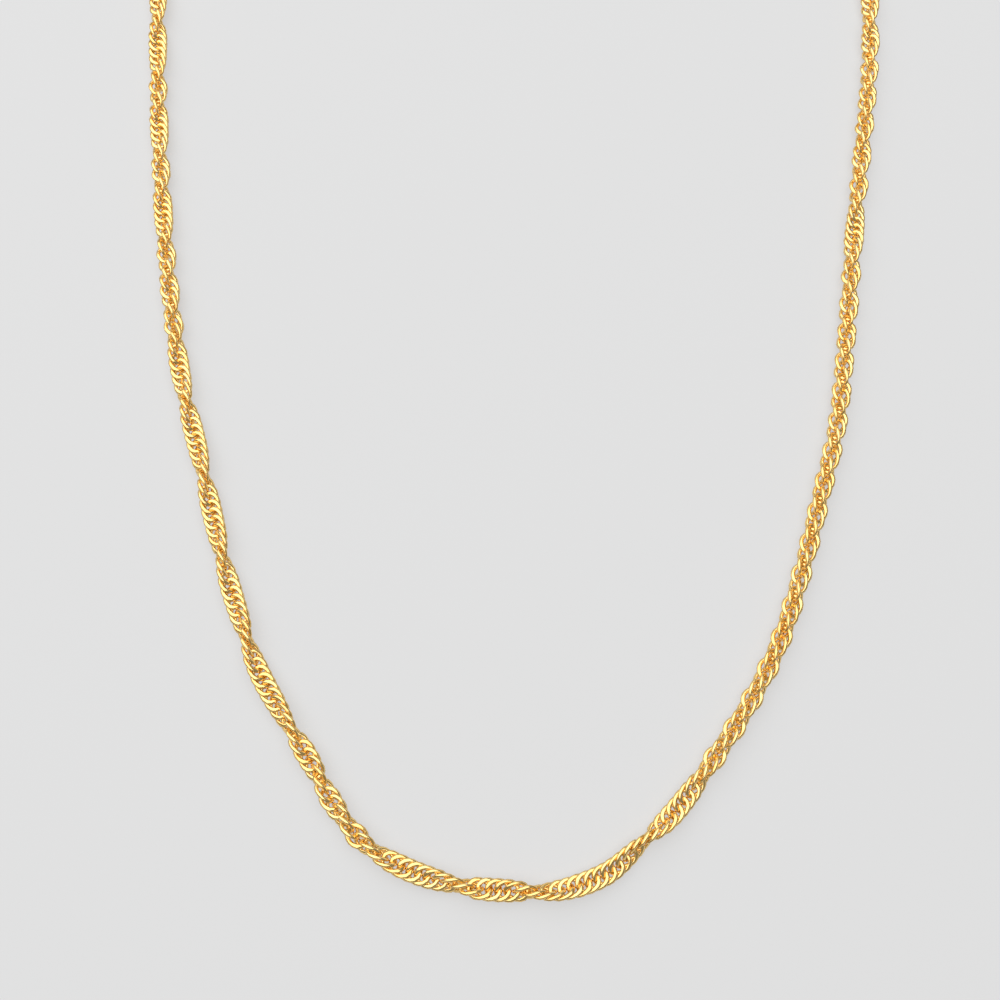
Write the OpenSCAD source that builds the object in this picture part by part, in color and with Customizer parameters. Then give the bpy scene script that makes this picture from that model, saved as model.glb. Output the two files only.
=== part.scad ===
// Fine necklace chain that lies flat in one closed loop. Sizes are in millimetres.
// Seen from above, +X is to the right and +Y runs from the front of the loop to its clasp.

/* [Chain] */
// Width across the twisted links, which is also the thickness of the tube that stands for them
chain_w = 2.1; // [1.8:0.1:2.4]
// Usual distance from one section of the tube to the next
section_gap = 6; // [5:0.5:8]

/* [Clasp] */
// Width inside the clasp's hoop
hoop_inner = 3.9; // [3.5:0.1:4.5]
// Thickness of the hoop's wire
hoop_wire = 0.8; // [0.7:0.05:0.8]
// Width inside the small eye on the clasp's side
eye_inner = 1.1; // [1:0.05:1.3]
// Thickness of the eye's wire
eye_wire = 0.4; // [0.4:0.05:0.5]

/* [End ring] */
// Width inside the ring that the clasp hooks
ring_inner = 1.9; // [1.9:0.05:2]
// Thickness of the ring's wire
ring_wire = 0.4; // [0.4:0.05:0.5]
// Lean of the ring away from upright, which keeps it as low as the chain
ring_lean = 46; // [46:1:50]

/* [Fit] */
// Smallest gap between two pieces that hold each other
seat_gap = 0.1; // [0.1:0.05:0.15]

/* [Hidden] */
tube_sides = 8;
gold = "#d8b779";
$fn = 64;

// Heights: every piece is centred on the chain's own middle height
mid_z = chain_w / 2;

// Clasp and ring along the line that closes the loop; the ring is centred on the hoop's wire
hoop_r = (hoop_inner + hoop_wire) / 2;
eye_r = (eye_inner + eye_wire) / 2;
ring_r = (ring_inner + ring_wire) / 2;
clasp_at = [1, 148];
eye_at = clasp_at + [hoop_r + eye_r, 0];
ring_at = clasp_at - [hoop_r, 0];
eye_end = eye_at + [eye_r + eye_wire / 2 + seat_gap, 0];
ring_end = ring_at - [ring_r + ring_wire / 2 + seat_gap, 0];

// Middle line of the chain, from the clasp's eye round the front of the loop to the end ring
route = [
    eye_end,
    [12.5, 147], [24, 141.8], [34, 131.8], [41, 118], [44, 101], [44.4, 81], [42.6, 62],
    [41.6, 51], [39.8, 40], [37.9, 29], [36.2, 18], [34.4, 8], [32, 0], [29.6, -7.5],
    [27, -14.2], [23.6, -20.2], [19.8, -25.5], [16.3, -29.8], [12.8, -32.9], [9.6, -35.4],
    [5.2, -36.8], [0.6, -36.8], [-4, -36.3], [-8.6, -34.9], [-12.6, -32.6], [-15.6, -29],
    [-17.9, -25.2], [-20.3, -21.6], [-23.1, -17], [-25, -12.5], [-27.3, -6], [-30.2, 4],
    [-33.1, 14], [-35.4, 26], [-37.1, 38], [-38.4, 50], [-39.4, 62],
    [-41.2, 81], [-41.3, 101], [-37.8, 118], [-30.8, 131.8], [-20.8, 141.8], [-9.6, 147],
    ring_end
];
last = len(route) - 1;

// Point a share t of the way from b to c, on a smooth curve that also heads past a and d
function smooth(a, b, c, d, t) =
    b + (c - a) * t / 2
    + (2 * a - 5 * b + 4 * c - d) * t * t / 2
    + (3 * b - a - 3 * c + d) * t * t * t / 2;

// The two ends take each other as neighbour, because the clasp joins them
function steps(i) = max(1, round(norm(route[i + 1] - route[i]) / section_gap));
function before(i) = i == 0 ? route[last] : route[i - 1];
function after(i) = i == last ? route[0] : route[i + 1];
centres = [
    for (i = [0 : last - 1])
        for (k = [0 : steps(i) - 1])
            smooth(before(i), route[i], route[i + 1], after(i + 1), k / steps(i)),
    route[last]
];
sections = len(centres);

// The origin is under the middle of the whole loop
low = [for (axis = [0, 1]) min([for (c = centres) c[axis]]) - chain_w / 2];
high = [
    max([for (c = centres) c.x]) + chain_w / 2,
    clasp_at.y + hoop_inner / 2 + hoop_wire
];
middle = (low + high) / 2;

// Direction of the chain at a section; the two end sections face the clasp squarely
function heading(i) =
    i == 0 ? [1, 0]
    : i == sections - 1 ? [1, 0]
    : (centres[i + 1] - centres[i - 1]) / norm(centres[i + 1] - centres[i - 1]);

// Corners of one section: flats at top and bottom, chain_w apart
corner_r = chain_w / 2 / cos(180 / tube_sides);
function corner(i, k) =
    let (
        turn = (k + 0.5) * 360 / tube_sides,
        side = [-heading(i).y, heading(i).x],
        foot = centres[i] - middle + side * corner_r * cos(turn)
    )
    [foot.x, foot.y, mid_z + corner_r * sin(turn)];
function number(i, k) = i * tube_sides + k % tube_sides;

module chain() {
    corners = [for (i = [0 : sections - 1]) for (k = [0 : tube_sides - 1]) corner(i, k)];
    walls = [
        for (i = [0 : sections - 2])
            for (k = [0 : tube_sides - 1])
                [number(i, k), number(i, k + 1), number(i + 1, k + 1), number(i + 1, k)]
    ];
    first_cap = [for (k = [tube_sides - 1 : -1 : 0]) number(0, k)];
    last_cap = [for (k = [0 : tube_sides - 1]) number(sections - 1, k)];
    color(gold)
        polyhedron(points = corners, faces = concat(walls, [first_cap, last_cap]), convexity = 8);
}

module wire_loop(middle_r, wire) {
    rotate_extrude()
        translate([middle_r, 0])
            circle(d = wire);
}

module place(at) {
    translate([at.x - middle.x, at.y - middle.y, mid_z])
        children();
}

module clasp() {
    color(gold) {
        place(clasp_at) wire_loop(hoop_r, hoop_wire);
        place(eye_at) wire_loop(eye_r, eye_wire);
    }
}

module end_ring() {
    color(gold)
        place(ring_at)
            rotate([90 - ring_lean, 0, 0])
                wire_loop(ring_r, ring_wire);
}

chain();
clasp();
end_ring();
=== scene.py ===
"""Singapore chain necklace lying flat in one long loop: its links, and the looks of them all."""

import bisect
import math

import bpy
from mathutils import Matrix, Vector


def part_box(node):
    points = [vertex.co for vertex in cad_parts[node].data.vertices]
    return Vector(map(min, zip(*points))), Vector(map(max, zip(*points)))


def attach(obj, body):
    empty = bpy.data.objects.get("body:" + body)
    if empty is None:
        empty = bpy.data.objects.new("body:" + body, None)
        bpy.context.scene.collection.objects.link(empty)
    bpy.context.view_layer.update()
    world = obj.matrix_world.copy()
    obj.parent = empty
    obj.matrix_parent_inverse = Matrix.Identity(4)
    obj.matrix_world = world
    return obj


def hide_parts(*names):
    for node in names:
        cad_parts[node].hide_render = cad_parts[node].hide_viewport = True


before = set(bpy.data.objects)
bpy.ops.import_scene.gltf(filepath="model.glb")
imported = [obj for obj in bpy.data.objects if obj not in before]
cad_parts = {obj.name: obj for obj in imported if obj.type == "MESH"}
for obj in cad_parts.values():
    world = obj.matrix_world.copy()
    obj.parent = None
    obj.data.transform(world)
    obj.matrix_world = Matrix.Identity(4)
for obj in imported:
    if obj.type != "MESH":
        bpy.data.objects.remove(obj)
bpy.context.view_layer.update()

# Chain sizes in metres, as the links are measured
CHAIN_W = 0.0021
WIRE = 0.00045
PITCH = 0.00083
LINK_SIDES = 16
WIRE_SIDES = 6
MID_Z = CHAIN_W / 2

# A taut link reaches past the second link on each side of it, with the ends of all links spaced
# almost evenly
LINK_HALF_LENGTH = PITCH * 1.253
LINK_HALF_WIDTH = (CHAIN_W - WIRE) / 2
# How far a link's quarters are bent out of its plane, which lets its neighbours pass
LINK_BEND = -0.00024
# The links are cut flat at this height above and below their own plane, which makes them glitter
CUT_HEIGHT = 0.00028

# Clasp and end ring, as in the frame
CLASP_AT = Vector((0.001, 0.148))
HOOP_OUTER = 0.0055
EYE_WIRE = 0.0004

# Middle line of the chain from the clasp's eye round the front to the end ring; its two ends
# come from the frame
ROUTE = [
    (0.0125, 0.147), (0.024, 0.1418), (0.034, 0.1318), (0.041, 0.118), (0.044, 0.101),
    (0.0444, 0.081), (0.0426, 0.062), (0.0416, 0.051), (0.0398, 0.04), (0.0379, 0.029),
    (0.0362, 0.018), (0.0344, 0.008), (0.032, 0), (0.0296, -0.0075), (0.027, -0.0142),
    (0.0236, -0.0202), (0.0198, -0.0255), (0.0163, -0.0298), (0.0128, -0.0329), (0.0096, -0.0354),
    (0.0052, -0.0368), (0.0006, -0.0368), (-0.004, -0.0363), (-0.0086, -0.0349),
    (-0.0126, -0.0326), (-0.0156, -0.029), (-0.0179, -0.0252), (-0.0203, -0.0216),
    (-0.0231, -0.017), (-0.025, -0.0125), (-0.0273, -0.006), (-0.0302, 0.004),
    (-0.0331, 0.014), (-0.0354, 0.026), (-0.0371, 0.038), (-0.0384, 0.05), (-0.0394, 0.062),
    (-0.0412, 0.081), (-0.0413, 0.101), (-0.0378, 0.118), (-0.0308, 0.1318), (-0.0208, 0.1418),
    (-0.0096, 0.147),
]

# Straight steps from one station of the middle line to the next
LINE_STEPS = 60

# Places where the links stand edge-on to the surface, as distances along the chain from the eye,
# as measured in the photo; spaced() moves the close ones apart
EDGE_ON = [
    0.1112, 0.1163, 0.1194, 0.1232, 0.1267, 0.1312, 0.1343, 0.1419, 0.1447, 0.1495, 0.1536, 0.157,
    0.1602, 0.1624, 0.1651, 0.1682, 0.1716, 0.1751, 0.178, 0.1815, 0.1839, 0.1867, 0.1908, 0.1952,
    0.1979, 0.2062, 0.2187, 0.2249, 0.2341, 0.2374, 0.2418, 0.247, 0.2571, 0.2657, 0.2743, 0.2828,
    0.29, 0.2929, 0.2976, 0.3013, 0.3078, 0.3119, 0.3184, 0.3219, 0.3291,
]
# The hidden stretches turn evenly; the last link stands square to the end ring's wire
EVEN_TURNS = 14
LAST_SHARE = 0.18
# The links turn slowly where they lie flat and fast where they stand edge-on, within what their
# neighbours leave room for from one link to the next
LEAST_TURN = math.radians(6)
MOST_TURN = math.radians(42)
# With edge-on places closer than this, a link would cut into its second neighbours
LEAST_STRETCH = 0.0033
SPACING_ROUNDS = 300
# How far a link is turned at random from its even place
PLAY = math.radians(2)
PLAY_SEED = 7


def lowest(node):
    return Vector(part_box(node)[0])


def highest(node):
    return Vector(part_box(node)[1])


def clasp_centre():
    """Centre of the clasp's hoop in the frame; the hoop is the widest part of the clasp."""
    low, high = lowest("clasp"), highest("clasp")
    return Vector((low.x + HOOP_OUTER / 2, (low.y + high.y) / 2))


def smooth(a, b, c, d, t):
    """Point a share t of the way from b to c, on a curve that also heads past a and d."""
    return (
        b
        + (c - a) * t / 2
        + (2 * a - 5 * b + 4 * c - d) * t**2 / 2
        + (3 * b - a - 3 * c + d) * t**3 / 2
    )


def chain_line():
    """Points and running lengths of the chain's middle line, from its first link to its last."""
    shift = clasp_centre() - CLASP_AT
    eye_outer = highest("clasp").x - EYE_WIRE / 2
    ring_outer = lowest("end_ring").x + EYE_WIRE / 2
    y = clasp_centre().y
    # The wire of the eye, or of the ring, sits midway between the ends of the two links next to it
    reach = LINK_HALF_LENGTH - PITCH / 2
    first = Vector((eye_outer + reach, y))
    final = Vector((ring_outer - reach, y))
    stations = [first] + [Vector(p) + shift for p in ROUTE] + [final]
    ring = [final] + stations + [first]
    points = []
    for a, b, c, d in zip(ring, ring[1:], ring[2:], ring[3:]):
        points += [smooth(a, b, c, d, k / LINE_STEPS) for k in range(LINE_STEPS)]
    points.append(final)
    lengths = [0.0]
    for a, b in zip(points, points[1:]):
        lengths.append(lengths[-1] + (b - a).length)
    return points, lengths


def half_turns(at, edges):
    """Turn of the links at a distance along the chain, in half turns; whole numbers are edge-on."""
    k = min(max(bisect.bisect_right(edges, at), 1), len(edges) - 1) - 1
    stretch = edges[k + 1] - edges[k]
    share = (at - edges[k]) / stretch
    mean_turn = math.pi * PITCH / stretch
    linger = max(0, min(1 - LEAST_TURN / mean_turn, MOST_TURN / mean_turn - 1))
    return k + share + linger * math.sin(math.tau * share) / math.tau


def spaced(places):
    """The places along the chain, with close ones moved apart as far as the links need."""
    places = list(places)
    for _ in range(SPACING_ROUNDS):
        for k in range(len(places) - 1):
            lack = max(0, LEAST_STRETCH - (places[k + 1] - places[k]))
            places[k] -= lack / 2
            places[k + 1] += lack / 2
    return places


def all_edges(length):
    """Every edge-on place, with the even ones of the two hidden stretches."""
    seen = spaced(EDGE_ON)
    before = [seen[0] * k / EVEN_TURNS for k in range(EVEN_TURNS)]
    step = (length - seen[-1]) / (EVEN_TURNS + LAST_SHARE)
    after = [seen[-1] + step * (k + 1) for k in range(EVEN_TURNS + 1)]
    return before + seen + after


def path_object():
    """The middle line as a curve whose tilt is the twist of the chain."""
    points, lengths = chain_line()
    edges = all_edges(lengths[-1])
    curve = bpy.data.curves.new("chain_line", "CURVE")
    curve.dimensions = "3D"
    curve.twist_mode = "Z_UP"
    spline = curve.splines.new("POLY")
    spline.points.add(len(points) - 1)
    for point, place, length in zip(spline.points, points, lengths):
        point.co = (place.x, place.y, MID_Z, 1)
        point.tilt = math.pi * (half_turns(length, edges) + 0.5)
    made = bpy.data.objects.new("chain_line", curve)
    bpy.context.scene.collection.objects.link(made)
    return made, lengths[-1]


def add(tree, kind, inputs=None, **settings):
    """Adds one node; an input is a value, or the socket that feeds it."""
    made = tree.nodes.new(kind)
    for name, value in settings.items():
        setattr(made, name, value)
    for key, value in (inputs or {}).items():
        if isinstance(value, bpy.types.NodeSocket):
            tree.links.new(value, made.inputs[key])
        else:
            made.inputs[key].default_value = value
    return made


def linear(hexa):
    """An sRGB hex colour as linear numbers, opaque."""
    channels = [int(hexa[i : i + 2], 16) / 255 for i in (1, 3, 5)]
    return [c / 12.92 if c <= 0.04045 else ((c + 0.055) / 1.055) ** 2.4 for c in channels] + [1.0]


def link_tree():
    """Geometry nodes that set interlocked, bent links along a twisted line."""
    tree = bpy.data.node_groups.new("singapore_chain", "GeometryNodeTree")
    face = tree.interface
    face.new_socket("Line", in_out="INPUT", socket_type="NodeSocketGeometry")
    for name in ("Links", "Link sides", "Wire sides", "Seed"):
        face.new_socket(name, in_out="INPUT", socket_type="NodeSocketInt")
    for name in ("Half length", "Half width", "Bend", "Wire", "Cut height", "Play"):
        face.new_socket(name, in_out="INPUT", socket_type="NodeSocketFloat")
    face.new_socket("Gold", in_out="INPUT", socket_type="NodeSocketMaterial")
    face.new_socket("Chain", in_out="OUTPUT", socket_type="NodeSocketGeometry")
    given = add(tree, "NodeGroupInput").outputs

    # One link's middle line: an oval along X, with its quarters bent up and down in turn
    circle = add(
        tree,
        "GeometryNodeCurvePrimitiveCircle",
        {"Resolution": given["Link sides"], "Radius": 1.0},
    )
    place = add(tree, "GeometryNodeInputPosition")
    around = add(tree, "ShaderNodeSeparateXYZ", {0: place.outputs[0]}).outputs
    along = add(
        tree,
        "ShaderNodeMath",
        {0: around["X"], 1: given["Half length"]},
        operation="MULTIPLY",
    )
    across = add(
        tree,
        "ShaderNodeMath",
        {0: around["Y"], 1: given["Half width"]},
        operation="MULTIPLY",
    )
    # Twice the product of a circle's X and Y is the sine of the doubled angle
    quarter = add(tree, "ShaderNodeMath", {0: around["X"], 1: around["Y"]}, operation="MULTIPLY")
    twice = add(tree, "ShaderNodeMath", {0: quarter.outputs[0], 1: 2.0}, operation="MULTIPLY")
    rise = add(
        tree,
        "ShaderNodeMath",
        {0: twice.outputs[0], 1: given["Bend"]},
        operation="MULTIPLY",
    )
    bent = add(
        tree,
        "ShaderNodeCombineXYZ",
        {"X": along.outputs[0], "Y": across.outputs[0], "Z": rise.outputs[0]},
    )
    oval = add(
        tree,
        "GeometryNodeSetPosition",
        {"Geometry": circle.outputs["Curve"], "Position": bent.outputs[0]},
    )
    level = add(tree, "GeometryNodeSetCurveNormal", {"Curve": oval.outputs[0]}, mode="Z_UP")

    # The wire round it, and the flats that a cutter leaves on its highest quarters
    half_wire = add(tree, "ShaderNodeMath", {0: given["Wire"], 1: 0.5}, operation="MULTIPLY")
    section = add(
        tree,
        "GeometryNodeCurvePrimitiveCircle",
        {"Resolution": given["Wire sides"], "Radius": half_wire.outputs[0]},
    )
    wire = add(
        tree,
        "GeometryNodeCurveToMesh",
        {"Curve": level.outputs[0], "Profile Curve": section.outputs["Curve"]},
    )
    skin = add(tree, "ShaderNodeSeparateXYZ", {0: place.outputs[0]}).outputs
    below = add(tree, "ShaderNodeMath", {0: given["Cut height"], 1: -1.0}, operation="MULTIPLY")
    cut = add(
        tree,
        "ShaderNodeClamp",
        {"Value": skin["Z"], "Min": below.outputs[0], "Max": given["Cut height"]},
    )
    kept = add(tree, "ShaderNodeCombineXYZ", {"X": skin["X"], "Y": skin["Y"], "Z": cut.outputs[0]})
    faced = add(
        tree,
        "GeometryNodeSetPosition",
        {"Geometry": wire.outputs[0], "Position": kept.outputs[0]},
    )
    # A point on the line looks along its own Z, so the link's length turns to Z and its width to X
    link = add(
        tree,
        "GeometryNodeTransform",
        {"Geometry": faced.outputs[0], "Rotation": (-math.pi / 2, -math.pi / 2, 0)},
    )

    stations = add(
        tree,
        "GeometryNodeCurveToPoints",
        {"Curve": given["Line"], "Count": given["Links"]},
        mode="COUNT",
    )
    away = add(tree, "ShaderNodeMath", {0: given["Play"], 1: -1.0}, operation="MULTIPLY")
    play = add(
        tree,
        "FunctionNodeRandomValue",
        {0: away.outputs[0], 1: given["Play"], "Seed": given["Seed"]},
        data_type="FLOAT_VECTOR",
    )
    nudge = add(tree, "FunctionNodeEulerToRotation", {0: play.outputs[0]})
    turned = add(
        tree,
        "FunctionNodeRotateRotation",
        {"Rotation": stations.outputs["Rotation"], "Rotate By": nudge.outputs[0]},
        rotation_space="LOCAL",
    )
    links = add(
        tree,
        "GeometryNodeInstanceOnPoints",
        {
            "Points": stations.outputs["Points"],
            "Instance": link.outputs[0],
            "Rotation": turned.outputs[0],
        },
    )
    tone_seed = add(tree, "ShaderNodeMath", {0: given["Seed"], 1: 1.0}, operation="ADD")
    tone = add(tree, "FunctionNodeRandomValue", {"Seed": tone_seed.outputs[0]}, data_type="FLOAT")
    toned = add(
        tree,
        "GeometryNodeStoreNamedAttribute",
        {"Geometry": links.outputs[0], "Name": "link_tone", "Value": tone.outputs[1]},
        data_type="FLOAT",
        domain="INSTANCE",
    )
    real = add(tree, "GeometryNodeRealizeInstances", {0: toned.outputs[0]})
    rounded = add(tree, "GeometryNodeSetShadeSmooth", {0: real.outputs[0]})
    golden = add(
        tree,
        "GeometryNodeSetMaterial",
        {"Geometry": rounded.outputs[0], "Material": given["Gold"]},
    )
    add(tree, "NodeGroupOutput", {"Chain": golden.outputs[0]})
    return tree


def set_input(modifier, name, value):
    """Sets one named input of a nodes modifier by its socket's identifier."""
    sockets = modifier.node_group.interface.items_tree
    socket = next(s for s in sockets if s.name == name and s.in_out == "INPUT")
    modifier[socket.identifier] = value


def plain_mesh(maker, name):
    """The evaluated result of an object as a plain object of its own; the maker is removed."""
    depsgraph = bpy.context.evaluated_depsgraph_get()
    mesh = bpy.data.meshes.new_from_object(maker.evaluated_get(depsgraph))
    made = bpy.data.objects.new(name, mesh)
    bpy.context.scene.collection.objects.link(made)
    bpy.data.objects.remove(maker)
    return made


def make_chain(gold):
    line, length = path_object()
    modifier = line.modifiers.new("links", "NODES")
    modifier.node_group = link_tree()
    values = {
        "Links": round(length / PITCH) + 1,
        "Link sides": LINK_SIDES,
        "Wire sides": WIRE_SIDES,
        "Seed": PLAY_SEED,
        "Half length": LINK_HALF_LENGTH,
        "Half width": LINK_HALF_WIDTH,
        "Bend": LINK_BEND,
        "Wire": WIRE,
        "Cut height": CUT_HEIGHT,
        "Play": PLAY,
        "Gold": gold,
    }
    for name, value in values.items():
        set_input(modifier, name, value)
    return plain_mesh(line, "singapore_links")


# The cutter and the tumbling leave marks of a few hundredths of a millimetre; they are drawn
# this coarse, nearly a wire's width, so that they show
MARK_SIZE = 0.00035
MARK_DEPTH = 0.00002
MARK_STRENGTH = 0.15
BRIGHTEST, DULLEST = 0.14, 0.3


def polished_gold(name, deep, pale, mark_size):
    """Yellow gold wire, drawn, cut and tumbled bright: a warm mirror with faint tool marks."""
    material = bpy.data.materials.new(name)
    material.use_nodes = True
    tree = material.node_tree
    tree.nodes.clear()
    place = add(tree, "ShaderNodeTexCoord")
    marks = add(
        tree,
        "ShaderNodeTexNoise",
        {"Vector": place.outputs["Object"], "Scale": 1 / mark_size, "Detail": 3.0},
    )
    dull = add(
        tree,
        "ShaderNodeMapRange",
        {"Value": marks.outputs["Fac"], "To Min": BRIGHTEST, "To Max": DULLEST},
    )
    relief = add(
        tree,
        "ShaderNodeBump",
        {"Height": marks.outputs["Fac"], "Strength": MARK_STRENGTH, "Distance": MARK_DEPTH},
    )
    tone = add(tree, "ShaderNodeAttribute", attribute_name="link_tone")
    colours = add(
        tree,
        "ShaderNodeMix",
        {"Factor": tone.outputs["Fac"], 6: linear(deep), 7: linear(pale)},
        data_type="RGBA",
    )
    metal = add(
        tree,
        "ShaderNodeBsdfPrincipled",
        {
            "Base Color": colours.outputs[2],
            "Metallic": 1.0,
            "Roughness": dull.outputs[0],
            "Normal": relief.outputs[0],
        },
    )
    add(tree, "ShaderNodeOutputMaterial", {"Surface": metal.outputs[0]})
    return material


def lit_acrylic(name, sheet, glow):
    """Matt acrylic sheet of a light table: part of its brightness comes through it from below."""
    material = bpy.data.materials.new(name)
    material.use_nodes = True
    shader = material.node_tree.nodes["Principled BSDF"]
    shader.inputs["Base Color"].default_value = linear(sheet)
    shader.inputs["Roughness"].default_value = 0.9
    shader.inputs["Specular IOR Level"].default_value = 0.2
    shader.inputs["Emission Color"].default_value = linear("#ffffff")
    shader.inputs["Emission Strength"].default_value = glow
    return material


FLOOR_HALF = 1.5
FLOOR_GLOW = 0.5


def make_floor():
    corners = [(-1, -1), (1, -1), (1, 1), (-1, 1)]
    mesh = bpy.data.meshes.new("floor")
    mesh.from_pydata([(x * FLOOR_HALF, y * FLOOR_HALF, 0) for x, y in corners], [], [(0, 1, 2, 3)])
    mesh.materials.append(lit_acrylic("matte_acrylic", "#808080", FLOOR_GLOW))
    floor = bpy.data.objects.new("floor", mesh)
    bpy.context.scene.collection.objects.link(floor)


# One large soft panel overhead, set back and to the left, and a dim even sky
PANEL_PLACE = (-0.12, 0.12, 0.5)
PANEL_TARGET = (0, -0.05, 0)
PANEL_SIZE = 1.1
PANEL_POWER = 6.8
SKY_STRENGTH = 0.25


def make_light(name, place, target, size, power):
    data = bpy.data.lights.new(name, "AREA")
    data.shape = "SQUARE"
    data.size = size
    data.energy = power
    made = bpy.data.objects.new(name, data)
    bpy.context.scene.collection.objects.link(made)
    made.location = place
    made.rotation_euler = (Vector(target) - Vector(place)).to_track_quat("-Z", "Y").to_euler()


def make_world(strength):
    world = bpy.data.worlds.new("studio")
    bpy.context.scene.world = world
    world.use_nodes = True
    background = world.node_tree.nodes["Background"]
    background.inputs["Color"].default_value = linear("#f4f5f7")
    background.inputs["Strength"].default_value = strength


# The photograph's middle falls on the route's own zero point, seen steeply from above its near side
LENS = 38.0
SENSOR = 36.0
TILT = math.radians(15)
PIXELS_PER_METRE = 10000
FRAME_PIXELS = 1000
NEAREST = 0.001


def make_camera():
    shift = clasp_centre() - CLASP_AT
    distance = LENS / SENSOR * FRAME_PIXELS / PIXELS_PER_METRE
    data = bpy.data.cameras.new("camera")
    data.lens = LENS
    data.sensor_width = SENSOR
    data.clip_start = NEAREST
    camera = bpy.data.objects.new("camera", data)
    bpy.context.scene.collection.objects.link(camera)
    target = Vector((shift.x, shift.y, MID_Z))
    camera.location = target + distance * Vector((0, -math.sin(TILT), math.cos(TILT)))
    camera.rotation_euler = (TILT, 0, 0)
    bpy.context.scene.camera = camera


make_camera()
gold = polished_gold("polished_yellow_gold", "#ffd480", "#ffdc92", MARK_SIZE)
links = make_chain(gold)
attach(links, "root")
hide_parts("chain")
for node in ("clasp", "end_ring"):
    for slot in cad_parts[node].material_slots:
        slot.material = gold

make_floor()
make_light("overhead_panel", PANEL_PLACE, PANEL_TARGET, PANEL_SIZE, PANEL_POWER)
make_world(SKY_STRENGTH)
bpy.context.scene.view_settings.view_transform = "Standard"
